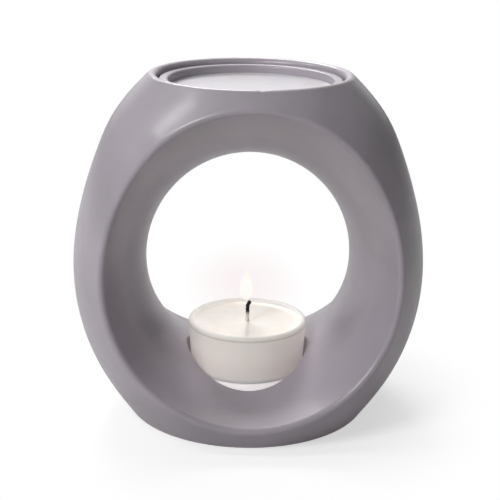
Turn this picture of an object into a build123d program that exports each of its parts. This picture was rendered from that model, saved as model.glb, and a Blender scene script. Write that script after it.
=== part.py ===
# Oil burner of glazed ceramic with a lift-out dish, and the tealight that heats it.
# Millimetres. +Z is up, the origin is the middle of the foot, and the window opens along Y.
import os

from build123d import *

os.makedirs("parts", exist_ok=True)

# Driving dimensions

# Burner body, outside
body_height = 110.0
belly_radius = 56.6
belly_height = 51.0
foot_radius = 39.1
rim_radius = 32.9
foot_edge_radius = 1.2
# Degrees from level: the lean of the side at the foot, and where on the lip's round the side ends.
foot_lean = 55.0
lip_start = 46.0
# Each pair is a share of the way out to the belly and a share of the way up to it or from it.
lower_shoulder_shares = (0.52, 0.275)
upper_shoulder_shares = (0.635, 0.61)

# Hollow under the foot
foot_ring_width = 7.0
foot_hollow_depth = 1.5

# Round window through the body, narrow in the middle and flared to both mouths
throat_half_width = 33.3
mouth_half_width = 50.1
mouth_reach = 40.0
mouth_top_drop = 2.7
mouth_bottom_height = 8.3
saddle_rise = 4.9
flare_power = 1.86
saddle_power = 1.3
flare_section_count = 7
ceiling_wall = 8.5
crease_radius = 1.4

# Lift-out dish and its seat in the top of the body
rim_wall = 3.4
rim_drop = 1.7
dish_rim_thickness = 3.3
dish_rim_overhang = 1.4
dish_depth = 12.1
dish_wall = 1.8
dish_floor_radius = 10.0
dish_lip_radius = 0.9
dish_clearance = 0.4
pool_drop = 3.0
pool_clearance = 0.1

# Tealight and the recess that it stands in
cup_radius = 19.5
cup_height = 19.0
cup_taper = 1.2
cup_wall = 2.0
cup_base = 3.0
cup_edge_radius = 1.2
cup_lip_radius = 0.8
cup_clearance = 0.6
recess_floor_height = 9.6
recess_edge_radius = 0.6
wax_drop = 1.4
wax_clearance = 0.1

# Wick and the metal tab that holds it upright
wick_radius = 0.75
wick_stand = 5.0
wick_curl_radius = 2.4
wick_curl_angle = 50.0
tab_radius = 7.0
tab_thickness = 0.3
tab_neck_height = 4.0
tab_neck_wall = 0.3
wick_clearance = 0.05

# One overrun serves every cut that has to pass a face.
cut_overrun = 2.0

# Heights that follow from the sizes above
dish_rim_top = body_height - rim_drop
ledge_height = dish_rim_top - dish_rim_thickness
dish_floor_height = dish_rim_top - dish_depth
pool_height = dish_rim_top - pool_drop
dish_under_height = dish_floor_height - dish_wall
throat_top = dish_under_height - dish_clearance - ceiling_wall
mouth_top = body_height - mouth_top_drop
throat_bottom = mouth_bottom_height + saddle_rise
cup_floor_height = recess_floor_height + cup_base
cup_rim_height = recess_floor_height + cup_height
wax_height = cup_rim_height - wax_drop
tab_height = cup_floor_height + tab_thickness

# Radii that follow from the sizes above
seat_radius = rim_radius - rim_wall
dish_rim_radius = seat_radius - dish_clearance
dish_radius = dish_rim_radius - dish_rim_overhang
dish_inner_radius = dish_radius - dish_wall
recess_radius = cup_radius + cup_clearance
foot_hollow_radius = foot_radius - foot_ring_width
cup_base_radius = cup_radius - cup_taper
tab_bore_radius = wick_radius + wick_clearance
tab_neck_radius = tab_bore_radius + tab_neck_wall


def window_section(depth):
    """Half width, half height and middle height of the window at a depth from the middle."""
    depth_share = abs(depth) / mouth_reach
    flare = depth_share**flare_power
    half_width = throat_half_width + (mouth_half_width - throat_half_width) * flare
    top = throat_top + (mouth_top - throat_top) * flare
    bottom = throat_bottom - saddle_rise * depth_share**saddle_power
    return half_width, (top - bottom) / 2, (top + bottom) / 2


# Burner body: a barrel of revolution
lower_radius_share, lower_height_share = lower_shoulder_shares
upper_radius_share, upper_height_share = upper_shoulder_shares
lower_shoulder = (
    foot_radius + (belly_radius - foot_radius) * lower_radius_share,
    belly_height * lower_height_share,
)
upper_shoulder = (
    rim_radius + (belly_radius - rim_radius) * upper_radius_share,
    body_height - (body_height - belly_height) * (1 - upper_height_share),
)
lip_radius = rim_wall / 2
lip_base = body_height - lip_radius

with BuildPart() as burner_body:
    with BuildSketch(Plane.XZ):
        with BuildLine():
            lip = CenterArc(
                (rim_radius - lip_radius, lip_base), lip_radius, lip_start, 180 - lip_start
            )
            side = Spline(
                (foot_radius, 0),
                lower_shoulder,
                (belly_radius, belly_height),
                upper_shoulder,
                lip @ 0,
                tangents=(Vector(1, 0).rotate(Axis.Z, foot_lean), lip % 0),
            )
            Polyline(lip @ 1, (seat_radius, ledge_height), (0, ledge_height), (0, 0), side @ 0)
        make_face()
    revolve(axis=Axis.Z)

    # The window: oval sections from one mouth through the throat to the other
    half_length = belly_radius + cut_overrun
    for index in range(flare_section_count):
        depth = half_length * (2 * index / (flare_section_count - 1) - 1)
        half_width, half_height, middle = window_section(depth)
        with BuildSketch(Plane.XZ.offset(-depth)):
            with BuildLine():
                for start in (90, 270):
                    EllipticalCenterArc((0, middle), half_width, half_height, start, arc_size=180)
            make_face()
    loft(mode=Mode.SUBTRACT)
    creases = burner_body.edges(Select.LAST).filter_by(
        lambda edge: abs(edge.center().Y) > recess_radius
    )
    fillet(creases, crease_radius)

    # Round recess in the saddle of the window, where the tealight stands
    window_middle = (throat_top + throat_bottom) / 2
    with BuildSketch(Plane.XY.offset(recess_floor_height)):
        Circle(recess_radius)
    extrude(amount=window_middle - recess_floor_height, mode=Mode.SUBTRACT)
    recess_rim = burner_body.edges(Select.LAST).filter_by(GeomType.BSPLINE)
    fillet(recess_rim, recess_edge_radius)

    # Seat for the dish: a hollow that follows the bowl, under the ledge that carries its rim
    with BuildSketch(Plane.XZ):
        with BuildLine():
            seat_floor = Line(
                (0, dish_under_height - dish_clearance),
                (dish_floor_radius, dish_under_height - dish_clearance),
            )
            seat_wall = TangentArc(
                seat_floor @ 1,
                (dish_radius + dish_clearance, ledge_height),
                tangent=seat_floor % 1,
            )
            Polyline(seat_wall @ 1, (0, ledge_height), seat_floor @ 0)
        make_face()
    revolve(axis=Axis.Z, mode=Mode.SUBTRACT)

    # Hollow under the foot, which leaves a ring to stand on
    with BuildSketch():
        Circle(foot_hollow_radius)
    extrude(amount=foot_hollow_depth, mode=Mode.SUBTRACT)
    foot_edge = burner_body.edges().group_by(Axis.Z)[0].sort_by(SortBy.RADIUS)[-1]
    fillet(foot_edge, foot_edge_radius)

# Dish: a thin bowl that hangs by its rim on the ledge
with BuildPart() as oil_dish:
    with BuildSketch(Plane.XZ):
        with BuildLine():
            under = Line((0, dish_under_height), (dish_floor_radius, dish_under_height))
            outside = TangentArc(under @ 1, (dish_radius, ledge_height), tangent=under % 1)
            rim = Polyline(
                outside @ 1,
                (dish_rim_radius, ledge_height),
                (dish_rim_radius, dish_rim_top),
                (dish_inner_radius, dish_rim_top),
                (dish_inner_radius, ledge_height),
            )
            floor = Line((0, dish_floor_height), (dish_floor_radius, dish_floor_height))
            TangentArc(floor @ 1, rim @ 1, tangent=floor % 1)
            Line(floor @ 0, under @ 0)
        make_face()
    revolve(axis=Axis.Z)
    fillet(oil_dish.edges().group_by(Axis.Z)[-1], dish_lip_radius)

# Pool of oil and water in the dish
pool_radius = dish_inner_radius - pool_clearance
pool_floor_radius = dish_floor_radius - pool_clearance

with BuildPart() as oil_pool:
    with BuildSketch(Plane.XZ):
        with BuildLine():
            bed = Line((0, dish_floor_height), (pool_floor_radius, dish_floor_height))
            bank = TangentArc(bed @ 1, (pool_radius, ledge_height), tangent=bed % 1)
            Polyline(bank @ 1, (pool_radius, pool_height), (0, pool_height), bed @ 0)
        make_face()
    revolve(axis=Axis.Z)

# Tealight cup: a clear moulded cup with a thick base and a little draft


def cup_inner_radius(height):
    """Inside radius of the cup at a height, which follows the draft of its wall."""
    rise_share = (height - recess_floor_height) / cup_height
    return cup_base_radius + cup_taper * rise_share - cup_wall


with BuildPart() as tealight_cup:
    with BuildSketch(Plane.XZ):
        with BuildLine():
            Polyline(
                (0, recess_floor_height),
                (cup_base_radius, recess_floor_height),
                (cup_radius, cup_rim_height),
                (cup_inner_radius(cup_rim_height), cup_rim_height),
                (cup_inner_radius(cup_floor_height), cup_floor_height),
                (0, cup_floor_height),
                close=True,
            )
        make_face()
    revolve(axis=Axis.Z)
    fillet(tealight_cup.edges().group_by(Axis.Z)[0], cup_edge_radius)
    fillet(tealight_cup.edges().group_by(Axis.Z)[-1], cup_lip_radius)

# Wick holder: a stamped tab with a neck that grips the wick
with BuildPart() as wick_sustainer:
    with BuildSketch(Plane.XY.offset(cup_floor_height)):
        Circle(tab_radius)
    extrude(amount=tab_thickness)
    with BuildSketch(Plane.XY.offset(tab_height)):
        Circle(tab_neck_radius)
        Circle(tab_bore_radius, mode=Mode.SUBTRACT)
    extrude(amount=tab_neck_height)

# Wick: it stands in the neck, rises through the wax, and its burnt tip curls over
with BuildPart() as wick:
    with BuildLine(Plane.XZ) as wick_path:
        stem = Line((0, tab_height), (0, wax_height + wick_stand))
        JernArc(stem @ 1, stem % 1, wick_curl_radius, -wick_curl_angle)
    with BuildSketch(Plane.XY.offset(tab_height)):
        Circle(wick_radius)
    sweep(path=wick_path.line)

# Tealight wax: cast in the cup round the wick and its holder
with BuildPart() as tealight_wax:
    with BuildSketch(Plane.XZ):
        with BuildLine():
            Polyline(
                (0, cup_floor_height),
                (cup_inner_radius(cup_floor_height) - wax_clearance, cup_floor_height),
                (cup_inner_radius(wax_height) - wax_clearance, wax_height),
                (0, wax_height),
                close=True,
            )
        make_face()
    revolve(axis=Axis.Z)
    wick_bores = (
        (tab_radius, tab_height),
        (tab_neck_radius, tab_height + tab_neck_height),
        (wick_radius, wax_height),
    )
    for bore_radius, bore_top in wick_bores:
        with BuildSketch(Plane.XY.offset(cup_floor_height)):
            Circle(bore_radius + wax_clearance)
        extrude(amount=bore_top - cup_floor_height, mode=Mode.SUBTRACT)

pieces = {
    "burner_body": burner_body,
    "oil_dish": oil_dish,
    "oil_pool": oil_pool,
    "tealight_cup": tealight_cup,
    "tealight_wax": tealight_wax,
    "wick_sustainer": wick_sustainer,
    "wick": wick,
}
for name, piece in pieces.items():
    piece.part.label = name
    export_step(piece.part, f"parts/{name}.step")
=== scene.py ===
import math

import bpy
from mathutils import Matrix, Vector


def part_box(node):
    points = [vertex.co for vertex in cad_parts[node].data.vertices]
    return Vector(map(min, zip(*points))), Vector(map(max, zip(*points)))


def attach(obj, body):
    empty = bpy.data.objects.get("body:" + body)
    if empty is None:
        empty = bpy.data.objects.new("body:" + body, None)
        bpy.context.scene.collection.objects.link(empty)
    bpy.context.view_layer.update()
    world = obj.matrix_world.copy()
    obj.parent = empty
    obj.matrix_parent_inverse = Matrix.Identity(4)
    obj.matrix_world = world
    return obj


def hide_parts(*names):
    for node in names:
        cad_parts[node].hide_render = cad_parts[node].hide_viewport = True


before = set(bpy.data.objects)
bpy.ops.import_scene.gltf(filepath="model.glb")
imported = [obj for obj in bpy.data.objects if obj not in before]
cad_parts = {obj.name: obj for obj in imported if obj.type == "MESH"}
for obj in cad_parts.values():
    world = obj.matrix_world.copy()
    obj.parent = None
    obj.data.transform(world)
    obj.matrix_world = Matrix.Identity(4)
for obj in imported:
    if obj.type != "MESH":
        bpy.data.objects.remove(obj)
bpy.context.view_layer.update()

# Burner body
# One thick piece of stoneware under a satin lilac-grey glaze. The window is cut and smoothed while
# the clay is leather-hard, so its edge stays crisp, and the glaze clouds and specks in the kiln.
glaze_deep = (0.354, 0.325, 0.358, 1.0)
glaze_lilac = (0.398, 0.360, 0.405, 1.0)
glaze_pale = (0.440, 0.392, 0.447, 1.0)
glaze_speck = (0.2124, 0.1885, 0.2076, 1.0)
# A ramp's stops are pairs of the noise's value and the colour or number there.
cloud_tones = ((0.30, glaze_deep), (0.52, glaze_lilac), (0.78, glaze_pale))
speck_cover = ((0.66, 0.0), (0.74, 0.35))
cloud_scale = 42.0
speck_scale = 1500.0
smear_scale = 160.0
ripple_scale = 230.0
ripple_depth = 0.0004
grain_scale = 2600.0
grain_depth = 0.00006
body_roughness = 0.34
glossier_by = 0.04
duller_by = 0.05


def plug(tree, value, socket):
    """Links an output to a socket, or sets the socket's own value."""
    if isinstance(value, bpy.types.NodeSocket):
        tree.links.new(value, socket)
    else:
        socket.default_value = value


def add_node(tree, kind, settings=None, **inputs):
    """Adds a shader node, sets its options, and sets or links its inputs by name."""
    node = tree.nodes.new(kind)
    for name, value in (settings or {}).items():
        setattr(node, name, value)
    for name, value in inputs.items():
        plug(tree, value, node.inputs[name.replace("_", " ")])
    return node


def new_material(name):
    """An empty node material and its tree of nodes."""
    material = bpy.data.materials.new(name)
    material.use_nodes = True
    material.node_tree.nodes.clear()
    return material, material.node_tree


def show(tree, shader):
    """Makes a shader the surface of its material."""
    add_node(tree, "ShaderNodeOutputMaterial", Surface=shader)


def place_on_piece(tree):
    """Where a point of the surface lies, in the piece's own metres."""
    return add_node(tree, "ShaderNodeTexCoord").outputs["Object"]


def noise(tree, place, **inputs):
    """Cloudy noise over the piece, as a number."""
    return add_node(tree, "ShaderNodeTexNoise", Vector=place, **inputs).outputs["Fac"]


def ramp(tree, factor, stops):
    """A colour ramp through (position, colour) stops."""
    node = add_node(tree, "ShaderNodeValToRGB", Fac=factor)
    elements = node.color_ramp.elements
    while len(elements) < len(stops):
        elements.new(0.5)
    for element, (position, colour) in zip(elements, stops):
        element.position = position
        element.color = colour
    return node.outputs["Color"]


def grey(value):
    """A neutral colour of that value."""
    return (value, value, value, 1.0)


def number_ramp(tree, factor, stops):
    """A ramp through (position, number) stops."""
    return ramp(tree, factor, [(position, grey(number)) for position, number in stops])


def satin_glaze(name, roughness):
    """Glazed stoneware: cloudy colour, faint iron specks and a soft ripple in the gloss."""
    material, tree = new_material(name)
    place = place_on_piece(tree)
    clouds = noise(tree, place, Scale=cloud_scale, Detail=4.0, Roughness=0.55)
    specks = noise(tree, place, Scale=speck_scale, Detail=2.0)
    colour = add_node(
        tree,
        "ShaderNodeMix",
        {"data_type": "RGBA"},
        Factor=number_ramp(tree, specks, speck_cover),
        A=ramp(tree, clouds, cloud_tones),
        B=glaze_speck,
    )
    smears = noise(tree, place, Scale=smear_scale, Detail=3.0)
    gloss_stops = ((0.3, roughness - glossier_by), (0.7, roughness + duller_by))
    ripple_bump = add_node(
        tree,
        "ShaderNodeBump",
        Height=noise(tree, place, Scale=ripple_scale, Detail=2.0),
        Strength=0.10,
        Distance=ripple_depth,
    )
    grain_bump = add_node(
        tree,
        "ShaderNodeBump",
        Height=noise(tree, place, Scale=grain_scale, Detail=2.0),
        Normal=ripple_bump.outputs["Normal"],
        Strength=0.08,
        Distance=grain_depth,
    )
    surface = add_node(
        tree,
        "ShaderNodeBsdfPrincipled",
        Base_Color=colour.outputs["Result"],
        Roughness=number_ramp(tree, smears, gloss_stops),
        Normal=grain_bump.outputs["Normal"],
        IOR=1.5,
        Specular_IOR_Level=0.42,
        Coat_Weight=0.22,
        Coat_Roughness=0.16,
    )
    show(tree, surface.outputs["BSDF"])
    return material


def dress(node_name, material):
    """Gives a node of the frame its finish."""
    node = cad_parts[node_name]
    node.data.materials.clear()
    node.data.materials.append(material)


dress("burner_body", satin_glaze("body_glaze", body_roughness))

# Oil dish
# A thin bowl turned from the same clay and dipped in the same glaze, a little glossier.
# It hangs by its rim on a ledge in the top of the body and lifts out to be washed.
dish_roughness = 0.33
dress("oil_dish", satin_glaze("dish_glaze", dish_roughness))

# Oil pool
# Water with a little oil in it, pale and milky, which fills the dish to just below its rim.
# It climbs the glaze in a small meniscus all round.
pool_low, pool_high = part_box("oil_pool")
pool_radius = pool_high.x
pool_floor_radius = 0.0099
dish_ledge_height = 0.1050
pool_arc_steps = 12
pool_climb = 0.00045
pool_climb_width = 0.0009
pool_tones = ((0.3, (0.66, 0.635, 0.67, 1.0)), (0.7, (0.71, 0.685, 0.72, 1.0)))
pool_gloss = ((0.4, 0.31), (0.7, 0.37))
swirl_scale = 60.0
droplet_scale = 220.0
turn_steps = 160
# A point nearer the axis than this lies on it.
axis_reach = 1e-7
# A meniscus fades over this many of its widths, in steps that crowd towards the wall.
meniscus_span = 5.0
meniscus_steps = 14
meniscus_crowding = 1.6


def add_object(name, data):
    """A new object in the scene, which holds a mesh, a curve, a lamp or a camera."""
    thing = bpy.data.objects.new(name, data)
    bpy.context.scene.collection.objects.link(thing)
    return thing


def turned_solid(name, profile):
    """A closed solid turned about Z from (radius, height) points that start and end on the axis."""
    vertices = []
    rings = []
    for radius, height in profile:
        start = len(vertices)
        if radius < axis_reach:
            vertices.append((0.0, 0.0, height))
            rings.append([start] * turn_steps)
            continue
        for step in range(turn_steps):
            angle = math.tau * step / turn_steps
            vertices.append((radius * math.cos(angle), radius * math.sin(angle), height))
        rings.append(list(range(start, start + turn_steps)))
    faces = []
    for lower, upper in zip(rings, rings[1:]):
        for step in range(turn_steps):
            after = (step + 1) % turn_steps
            corners = (lower[step], lower[after], upper[after], upper[step])
            faces.append(tuple(dict.fromkeys(corners)))
    mesh = bpy.data.meshes.new(name)
    mesh.from_pydata(vertices, [], faces)
    mesh.validate()
    mesh.shade_smooth()
    return add_object(name, mesh)


def meniscus(radius, height, climb, width):
    """Points from the wall to the axis along a liquid surface that climbs the wall."""
    points = []
    for step in range(meniscus_steps + 1):
        inset = width * meniscus_span * (step / meniscus_steps) ** meniscus_crowding
        points.append((radius - inset, height + climb * math.exp(-inset / width)))
    return points + [(radius / 2, height), (0.0, height)]


def milky_oil():
    """Oil and water: pale, slightly cloudy and softly glossy."""
    material, tree = new_material("scented_oil")
    place = place_on_piece(tree)
    swirl = noise(tree, place, Scale=swirl_scale, Detail=3.0, Distortion=1.4)
    droplets = noise(tree, place, Scale=droplet_scale, Detail=1.0)
    surface = add_node(
        tree,
        "ShaderNodeBsdfPrincipled",
        Base_Color=ramp(tree, swirl, pool_tones),
        Roughness=number_ramp(tree, droplets, pool_gloss),
        IOR=1.40,
        Subsurface_Weight=0.2,
        Subsurface_Scale=0.002,
    )
    show(tree, surface.outputs["BSDF"])
    return material


pool_arc_width = pool_radius - pool_floor_radius
pool_arc_height = dish_ledge_height - pool_low.z
pool_arc_radius = (pool_arc_width**2 + pool_arc_height**2) / (2 * pool_arc_height)
pool_profile = [(0.0, pool_low.z), (pool_floor_radius, pool_low.z)]
for step in range(1, pool_arc_steps + 1):
    run = pool_arc_width * step / pool_arc_steps
    rise = pool_arc_radius - math.sqrt(pool_arc_radius**2 - run**2)
    pool_profile.append((pool_floor_radius + run, pool_low.z + rise))
pool_profile += meniscus(pool_radius, pool_high.z, pool_climb, pool_climb_width)
pool = turned_solid("oil_pool_surface", pool_profile)
pool.data.materials.append(milky_oil())
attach(pool, "dish")
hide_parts("oil_pool")

# Tealight cup
# A clear moulded cup with a thick base, which stands loose in the recess of the window's saddle.
# It is frosted, so the wax shows softly through its wall. Its base is painted near white with a
# painted glow, its wall and rim carry a faint painted glow, a painted shade line marks the wax's
# top, and a painted glow on the inside of the rim stands for the flame's light.
cup_low, cup_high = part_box("tealight_cup")
wax_low, wax_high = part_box("tealight_wax")
# The base's tone is painted near white, for light that shows through the thick clear base.
cup_base_painted_bright_tone = (0.97, 0.95, 0.94, 1.0)
cup_wall_tone = (0.66, 0.645, 0.65, 1.0)
# A painted shade line on the cup where the wax's top meets its wall.
wax_line_painted_shade_tone = (0.42, 0.405, 0.40, 1.0)
cup_rim_tone = (0.65, 0.635, 0.61, 1.0)
# The cup's painted glow: its tone, and its strength in the base, the wall, the rim and inside the
# rim.
cup_painted_glow_tone = (1.0, 0.96, 0.94, 1.0)
cup_shadow_tone = (0.90, 0.90, 0.89, 1.0)
cup_base_painted_glow = 0.38
cup_wall_painted_glow = 0.045
cup_rim_painted_glow = 0.05
cup_inside_painted_glow = 0.27
cup_inside_share = 0.6
cup_haze_scale = 120.0
cup_gloss = ((0.35, 0.38), (0.7, 0.46))
# Shares of the cup's height: its floor, the wax's surface, and how far the tones take to change.
cup_height = cup_high.z - cup_low.z
cup_floor_share = (wax_low.z - cup_low.z) / cup_height
wax_share = (wax_high.z - cup_low.z) / cup_height
edge_share = 0.02
rim_share = 0.025
level_only = (1.0, 1.0, 0.0)


def height_share(tree, place, low, high):
    """How far up a point lies between two heights, from 0 to 1."""
    height = add_node(tree, "ShaderNodeSeparateXYZ", Vector=place).outputs["Z"]
    share = add_node(tree, "ShaderNodeMapRange", Value=height, From_Min=low, From_Max=high)
    return share.outputs["Result"]


def work_out(tree, kind, operation, values):
    """A maths node whose inputs are set or linked in their order."""
    node = add_node(tree, kind, {"operation": operation})
    for value, socket in zip(values, node.inputs):
        plug(tree, value, socket)
    return node


def number_maths(tree, operation, *values):
    """Works out an operation on numbers."""
    return work_out(tree, "ShaderNodeMath", operation, values).outputs["Value"]


def vector_maths(tree, operation, *values):
    """Works out an operation on vectors. A length or a dot product gives a number."""
    node = work_out(tree, "ShaderNodeVectorMath", operation, values)
    gives_number = operation in ("LENGTH", "DOT_PRODUCT")
    return node.outputs["Value" if gives_number else "Vector"]


def blend(tree, share, first, second):
    """A mix of two shaders."""
    node = add_node(tree, "ShaderNodeMixShader", Fac=share)
    plug(tree, first, node.inputs[1])
    plug(tree, second, node.inputs[2])
    return node.outputs["Shader"]


def clear_moulding():
    """Frosted clear plastic, with its tone and its painted glow set by height, and a painted glow
    inside the rim.
    """
    material, tree = new_material("clear_cup")
    place = place_on_piece(tree)
    rise = height_share(tree, place, cup_low.z, cup_high.z)
    # The tone by height, with the base painted near white and a painted shade line at the wax's
    # top.
    tone = ramp(
        tree,
        rise,
        (
            (cup_floor_share - edge_share, cup_base_painted_bright_tone),
            (cup_floor_share, cup_wall_tone),
            (wax_share - edge_share, cup_wall_tone),
            (wax_share, wax_line_painted_shade_tone),
            (wax_share + rim_share, cup_rim_tone),
        ),
    )
    # A painted glow by height: strong in the base, faint in the wall and the rim.
    painted_glow = number_ramp(
        tree,
        rise,
        (
            (cup_floor_share - edge_share, cup_base_painted_glow),
            (cup_floor_share, cup_wall_painted_glow),
            (wax_share, cup_wall_painted_glow),
            (wax_share + rim_share, cup_rim_painted_glow),
        ),
    )
    # A painted glow on faces that look in to the axis, for the flame's light on the inside of the
    # rim.
    normal = add_node(tree, "ShaderNodeTexCoord").outputs["Normal"]
    outward = vector_maths(tree, "MULTIPLY", place, level_only)
    inside = add_node(
        tree,
        "ShaderNodeMapRange",
        Value=vector_maths(tree, "DOT_PRODUCT", outward, normal),
        From_Min=0.0,
        From_Max=-cup_high.x * cup_inside_share,
    ).outputs["Result"]
    haze = noise(tree, place, Scale=cup_haze_scale, Detail=3.0)
    frosted = add_node(
        tree,
        "ShaderNodeBsdfPrincipled",
        Base_Color=tone,
        Roughness=number_ramp(tree, haze, cup_gloss),
        IOR=1.46,
        Transmission_Weight=0.3,
        Subsurface_Weight=0.7,
        Subsurface_Radius=(1.0, 0.95, 0.9),
        Subsurface_Scale=0.004,
        Emission_Color=cup_painted_glow_tone,
        Emission_Strength=number_maths(tree, "MULTIPLY_ADD", inside, cup_inside_painted_glow, painted_glow),
    )
    clear = add_node(tree, "ShaderNodeBsdfTransparent", Color=cup_shadow_tone)
    in_shadow = add_node(tree, "ShaderNodeLightPath").outputs["Is Shadow Ray"]
    show(tree, blend(tree, in_shadow, frosted.outputs["BSDF"], clear.outputs["BSDF"]))
    return material


dress("tealight_cup", clear_moulding())

# Wick holder
# A round tab stamped from tinned sheet, with a neck that is crimped round the wick.
# It stands on the cup's floor, and the wax is cast over it.
tab_tones = ((0.3, (0.56, 0.56, 0.55, 1.0)), (0.7, (0.70, 0.70, 0.69, 1.0)))
tab_gloss = ((0.3, 0.30), (0.7, 0.42))
rolling_scale = (300.0, 6000.0, 300.0)


def tinned_sheet():
    """Bright tinned steel with fine rolling marks."""
    material, tree = new_material("wick_tab")
    stretch = add_node(
        tree, "ShaderNodeMapping", Vector=place_on_piece(tree), Scale=rolling_scale
    )
    marks = noise(tree, stretch.outputs["Vector"], Scale=1.0)
    surface = add_node(
        tree,
        "ShaderNodeBsdfPrincipled",
        Base_Color=ramp(tree, marks, tab_tones),
        Roughness=number_ramp(tree, marks, tab_gloss),
        Metallic=1.0,
    )
    show(tree, surface.outputs["BSDF"])
    return material


dress("wick_sustainer", tinned_sheet())

# Tealight wax
# Cream-white paraffin cast in the cup. Round the wick it has melted to a still, glossy pool,
# and it climbs the cup's wall a little where it cooled there.
wax_bottom_radius = 0.0169
wax_edge_inset = 0.0006
wax_edge_rise = 0.0005
# The wax runs a little into the cup's wall, so that no gap shows through it.
wax_contact = 0.00045
wax_climb = 0.0006
wax_climb_width = 0.0009
melt_radius = 0.0145
wax_tones = ((0.3, (0.84, 0.79, 0.72, 1.0)), (0.7, (0.89, 0.85, 0.79, 1.0)))
wax_cloud_scale = 220.0
# The gloss runs from the middle of the melted pool to its edge.
melt_gloss = ((0.6, 0.06), (1.0, 0.26))
# A painted warm glow over the whole wax, for the flame's light in it.
wax_painted_glow_tone = (1.0, 0.92, 0.84, 1.0)
wax_painted_glow = 0.15


def paraffin():
    """Cast wax: soft and translucent, with a smooth melted pool in the middle and a painted warm
    glow.
    """
    material, tree = new_material("candle_wax")
    place = place_on_piece(tree)
    clouds = noise(tree, place, Scale=wax_cloud_scale, Detail=4.0)
    reach = vector_maths(tree, "LENGTH", vector_maths(tree, "MULTIPLY", place, level_only))
    melt_share = number_maths(tree, "DIVIDE", reach, melt_radius)
    surface = add_node(
        tree,
        "ShaderNodeBsdfPrincipled",
        Base_Color=ramp(tree, clouds, wax_tones),
        Roughness=number_ramp(tree, melt_share, melt_gloss),
        IOR=1.43,
        Subsurface_Weight=0.35,
        Subsurface_Radius=(1.0, 0.75, 0.55),
        Subsurface_Scale=0.004,
        Emission_Color=wax_painted_glow_tone,
        Emission_Strength=wax_painted_glow,
    )
    show(tree, surface.outputs["BSDF"])
    return material


wax_profile = [
    (0.0, wax_low.z),
    (wax_bottom_radius - wax_edge_inset, wax_low.z),
    (wax_bottom_radius, wax_low.z + wax_edge_rise),
]
wax_profile += meniscus(wax_high.x + wax_contact, wax_high.z, wax_climb, wax_climb_width)
wax = turned_solid("tealight_wax_cast", wax_profile)
wax.data.materials.append(paraffin())
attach(wax, "tealight")
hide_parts("tealight_wax")

# Wick
# Three strands of cotton plaited round each other. It stands in the neck of its tab, and the end
# above the wax is burnt black and curls over to the right.
wick_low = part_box("wick")[0]
wick_stand = 0.0050
curl_radius = 0.0024
curl_angle = math.radians(50.0)
stem_length = wax_high.z + wick_stand - wick_low.z
wick_length = stem_length + curl_radius * curl_angle
wick_points = 90
strand_count = 3
strand_radius = 0.00036
strand_roundness = 3
strand_offset = 0.00030
strand_pitch = 0.0036
char_rise = 0.0024
char_fade = 0.0012
char_start = wax_high.z + char_rise
char_end = char_start + char_fade
cotton_tones = ((0.3, (0.76, 0.72, 0.65, 1.0)), (0.7, (0.88, 0.85, 0.80, 1.0)))
char_tones = ((0.3, (0.004, 0.004, 0.004, 1.0)), (0.7, (0.018, 0.016, 0.015, 1.0)))
fray_scale = 1800.0
fray_depth = 0.0001


def wick_middle(distance):
    """The middle of the wick at a distance along it, and the direction to the curl's inside."""
    if distance <= stem_length:
        return Vector((0.0, 0.0, wick_low.z + distance)), Vector((1.0, 0.0, 0.0))
    turn = (distance - stem_length) / curl_radius
    centre = Vector((curl_radius, 0.0, wick_low.z + stem_length))
    out = Vector((-math.cos(turn), 0.0, math.sin(turn)))
    return centre + out * curl_radius, -out


def burnt_cotton():
    """Cotton that is pale at the wax and charred black above it."""
    material, tree = new_material("wick_cotton")
    place = place_on_piece(tree)
    fray = noise(tree, place, Scale=fray_scale, Detail=3.0)
    colour = add_node(
        tree,
        "ShaderNodeMix",
        {"data_type": "RGBA"},
        Factor=height_share(tree, place, char_start, char_end),
        A=ramp(tree, fray, cotton_tones),
        B=ramp(tree, fray, char_tones),
    )
    bump = add_node(tree, "ShaderNodeBump", Height=fray, Strength=0.5, Distance=fray_depth)
    surface = add_node(
        tree,
        "ShaderNodeBsdfPrincipled",
        Base_Color=colour.outputs["Result"],
        Roughness=0.85,
        Normal=bump.outputs["Normal"],
    )
    show(tree, surface.outputs["BSDF"])
    return material


strands = bpy.data.curves.new("wick_strands", "CURVE")
strands.dimensions = "3D"
strands.bevel_depth = strand_radius
strands.bevel_resolution = strand_roundness
strands.use_fill_caps = True
across = Vector((0.0, 1.0, 0.0))
for strand in range(strand_count):
    line = strands.splines.new("POLY")
    line.points.add(wick_points - 1)
    for index, point in enumerate(line.points):
        distance = wick_length * index / (wick_points - 1)
        middle, inward = wick_middle(distance)
        turn = math.tau * (distance / strand_pitch + strand / strand_count)
        spread = strand_offset * (inward * math.cos(turn) + across * math.sin(turn))
        point.co = (*(middle + spread), 1.0)
strand_curve = add_object("wick_strand_curve", strands)
wick_mesh = bpy.data.meshes.new_from_object(
    strand_curve.evaluated_get(bpy.context.evaluated_depsgraph_get())
)
bpy.data.objects.remove(strand_curve)
wick_mesh.shade_smooth()
wick = add_object("wick_plait", wick_mesh)
wick.data.materials.append(burnt_cotton())
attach(wick, "tealight")
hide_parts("wick")

# Flame
# The candle's flame, a small still teardrop over the wick's tip. It is light, not a solid,
# so it has no node of its own and rides on the tealight.
flame_base = 0.0346
flame_height = 0.0106
flame_radius = 0.002576
flame_lean = -0.0006
flame_steps = 28
# The belly's place on the way up, the roundness of the teardrop, and its taper to the tip.
flame_belly_power = 0.78
flame_round_power = 0.72
flame_taper_share = 0.36
flame_tones = (
    (0.0, (1.0, 0.90, 0.78, 1.0)),
    (0.25, (1.0, 0.975, 0.93, 1.0)),
    (0.6, (1.0, 0.98, 0.96, 1.0)),
    (1.0, (1.0, 0.92, 0.87, 1.0)),
)
flame_power = 0.0016
flame_warmth = (1.0, 0.86, 0.70)
flame_light_size = 0.0023
flame_light_share = 0.25


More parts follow.
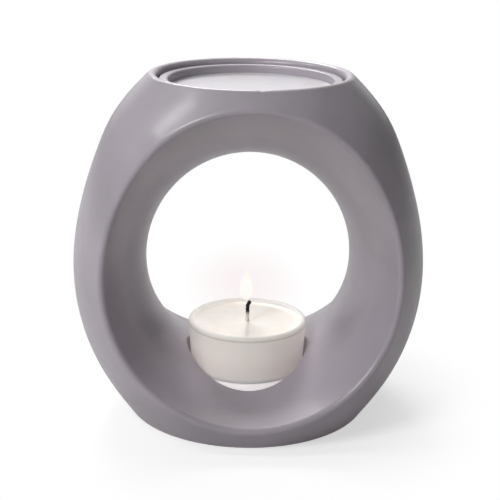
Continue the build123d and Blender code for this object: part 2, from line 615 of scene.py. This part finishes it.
def candle_light():
    """Burning vapour: white hot in the middle, warmer at the tip and at the foot."""
    material, tree = new_material("flame_light")
    place = place_on_piece(tree)
    rise = height_share(tree, place, flame_base, flame_base + flame_height)
    light = add_node(
        tree, "ShaderNodeEmission", Color=ramp(tree, rise, flame_tones), Strength=1.0
    )
    show(tree, light.outputs["Emission"])
    return material


flame_profile = [(0.0, flame_base)]
for step in range(1, flame_steps):
    share = step / flame_steps
    roundness = math.sin(math.pi * share**flame_belly_power) ** flame_round_power
    swell = roundness * (1 - flame_taper_share * share)
    flame_profile.append((flame_radius * swell, flame_base + flame_height * share))
flame_profile.append((0.0, flame_base + flame_height))
flame = turned_solid("flame", flame_profile)
for vertex in flame.data.vertices:
    vertex.co.x += flame_lean
flame.data.materials.append(candle_light())
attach(flame, "tealight")
flame_glow = bpy.data.lights.new("flame_glow", "POINT")
flame_glow.energy = flame_power
flame_glow.color = flame_warmth
flame_glow.shadow_soft_size = flame_light_size
flame_glow.specular_factor = 0.0
glow_holder = add_object("flame_glow", flame_glow)
glow_holder.location = (flame_lean, 0.0, flame_base + flame_height * flame_light_share)
glow_holder.parent = flame

# Floor and backdrop
# A sheet of white paper under the burner. It keeps the soft shadow near the foot, turns to plain
# white further out, and carries a painted warm glow behind the flame.
floor_reach = 6.0
floor_fade_start = 0.042
floor_fade_end = 0.088
paper_tone = (0.555, 0.551, 0.547, 1.0)
# The paper's own light: what the burner gets from it, and what the camera sees.
paper_light = ((0.0, 0.11), (1.0, 0.57))
# A painted warm glow on the paper behind the flame: its middle, its reach and its tones.
painted_paper_glow_place = (0.0025, 0.118, 0.0)
painted_paper_glow_reach = (0.026, 0.058, 1.0)
painted_paper_glow_tones = (
    (0.2, (0.970, 0.895, 0.897, 1.0)),
    (0.6, (0.984, 0.945, 0.945, 1.0)),
    (1.0, grey(1.0)),
)


def seen_straight(tree):
    """1 for what the camera sees by itself or through the clear cup, else 0."""
    path = add_node(tree, "ShaderNodeLightPath")
    return number_maths(
        tree, "MAXIMUM", path.outputs["Is Camera Ray"], path.outputs["Is Transmission Ray"]
    )


def white_paper():
    """Matt white paper that a camera sees as plain white away from the burner, with a painted warm
    glow behind the flame.
    """
    material, tree = new_material("white_paper")
    place = place_on_piece(tree)
    paper = add_node(tree, "ShaderNodeBsdfDiffuse", Color=paper_tone)
    on_camera = add_node(tree, "ShaderNodeLightPath").outputs["Is Camera Ray"]
    own_light = add_node(
        tree, "ShaderNodeEmission", Color=number_ramp(tree, on_camera, paper_light), Strength=1.0
    )
    lit_paper = add_node(tree, "ShaderNodeAddShader")
    plug(tree, paper.outputs["BSDF"], lit_paper.inputs[0])
    plug(tree, own_light.outputs["Emission"], lit_paper.inputs[1])
    from_painted_paper_glow = vector_maths(tree, "SUBTRACT", place, painted_paper_glow_place)
    painted_paper_glow_share = vector_maths(tree, "LENGTH", vector_maths(tree, "DIVIDE", from_painted_paper_glow, painted_paper_glow_reach))
    # Plain white far out, with the painted warm glow behind the flame mixed into it.
    white = add_node(
        tree, "ShaderNodeEmission", Color=ramp(tree, painted_paper_glow_share, painted_paper_glow_tones), Strength=1.0
    )
    far = add_node(
        tree,
        "ShaderNodeMapRange",
        {"interpolation_type": "SMOOTHSTEP"},
        Value=vector_maths(tree, "LENGTH", place),
        From_Min=floor_fade_start,
        From_Max=floor_fade_end,
    ).outputs["Result"]
    whiteness = number_maths(tree, "MULTIPLY", seen_straight(tree), far)
    show(tree, blend(tree, whiteness, lit_paper.outputs["Shader"], white.outputs["Emission"]))
    return material


floor_mesh = bpy.data.meshes.new("floor")
floor_mesh.from_pydata(
    [
        (-floor_reach, -floor_reach, 0.0),
        (floor_reach, -floor_reach, 0.0),
        (floor_reach, floor_reach, 0.0),
        (-floor_reach, floor_reach, 0.0),
    ],
    [],
    [(0, 1, 2, 3)],
)
floor = add_object("floor", floor_mesh)
floor_mesh.materials.append(white_paper())

# Light
# A dim white tent with a bright panel behind and weaker ones at the sides and in front. A key
# lamp stands front left, a narrow strip lamp on the left draws the highlight on the shoulder,
# and a soft lamp stands high behind.
tent_tone = (1.0, 0.995, 1.0, 1.0)
tent_dimness = 0.045
# Each panel's direction, half angle in degrees and strength.
tent_panels = (
    ((0.0, 0.985, 0.17), 36.0, 1.2),
    ((-0.80, 0.55, 0.16), 38.0, 0.04),
    ((0.75, 0.45, 0.45), 38.0, 0.30),
    ((-0.25, -0.95, 0.10), 40.0, 0.50),
)
body_middle = Vector((0.0, 0.0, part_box("burner_body")[1].z / 2))
key_place = Vector((-0.50, -0.50, 0.62))
key_size = 0.32
key_power = 4.15
strip_place = Vector((-0.575, 0.03, 0.665))
strip_width = 0.13
strip_height = 0.34
strip_power = 1.5
strip_diffuse = 0.05
back_place = Vector((-0.12, 0.62, 0.69))
back_size = 0.40
back_power = 4.4


def soft_lamp(name, place, width, height, power):
    """A rectangular soft box at a place, turned to the middle of the burner."""
    lamp = bpy.data.lights.new(name, "AREA")
    lamp.shape = "RECTANGLE"
    lamp.size = width
    lamp.size_y = height
    lamp.energy = power
    holder = add_object(name, lamp)
    holder.location = place
    holder.rotation_euler = (body_middle - place).to_track_quat("-Z", "Y").to_euler()
    return lamp


world = bpy.data.worlds.new("white_tent")
bpy.context.scene.world = world
world.use_nodes = True
tent = world.node_tree
tent.nodes.clear()
direction = add_node(tent, "ShaderNodeTexCoord").outputs["Generated"]
tent_level = tent_dimness
for panel_axis, panel_half_angle, panel_strength in tent_panels:
    panel = add_node(
        tent,
        "ShaderNodeMapRange",
        Value=vector_maths(tent, "DOT_PRODUCT", direction, Vector(panel_axis).normalized()),
        From_Min=math.cos(math.radians(panel_half_angle)),
        From_Max=1.0,
        To_Min=0.0,
        To_Max=panel_strength,
    )
    tent_level = number_maths(tent, "ADD", tent_level, panel.outputs["Result"])
soft = add_node(tent, "ShaderNodeBackground", Color=tent_tone, Strength=tent_level)
white = add_node(tent, "ShaderNodeBackground", Color=grey(1.0), Strength=1.0)
tent_shader = blend(
    tent, seen_straight(tent), soft.outputs["Background"], white.outputs["Background"]
)
add_node(tent, "ShaderNodeOutputWorld", Surface=tent_shader)
soft_lamp("key_lamp", key_place, key_size, key_size, key_power)
strip_lamp = soft_lamp("strip_lamp", strip_place, strip_width, strip_height, strip_power)
strip_lamp.diffuse_factor = strip_diffuse
soft_lamp("back_lamp", back_place, back_size, back_size, back_power)

# Camera
# Eye level a little above the rim and close in, as a small table-top picture is taken.
# It leans by a degree, as the photograph does.
camera_azimuth = math.radians(-2.145)
camera_elevation = math.radians(17.49)
camera_roll = math.radians(0.925)
camera_distance = 0.4012
camera_target = Vector((0.0005, 0.0, 0.0519))
camera_lens = 88.48
camera_nearest = 0.02
camera_farthest = 50.0
lens = bpy.data.cameras.new("camera")
lens.lens = camera_lens
lens.clip_start = camera_nearest
lens.clip_end = camera_farthest
camera = add_object("camera", lens)
to_camera = Vector(
    (
        math.sin(camera_azimuth) * math.cos(camera_elevation),
        -math.cos(camera_azimuth) * math.cos(camera_elevation),
        math.sin(camera_elevation),
    )
)
camera.location = camera_target + to_camera * camera_distance
upright = (-to_camera).to_track_quat("-Z", "Y").to_matrix()
camera.rotation_euler = (upright @ Matrix.Rotation(camera_roll, 3, "Z")).to_euler()
bpy.context.scene.camera = camera

bpy.context.scene.view_settings.view_transform = "Standard"
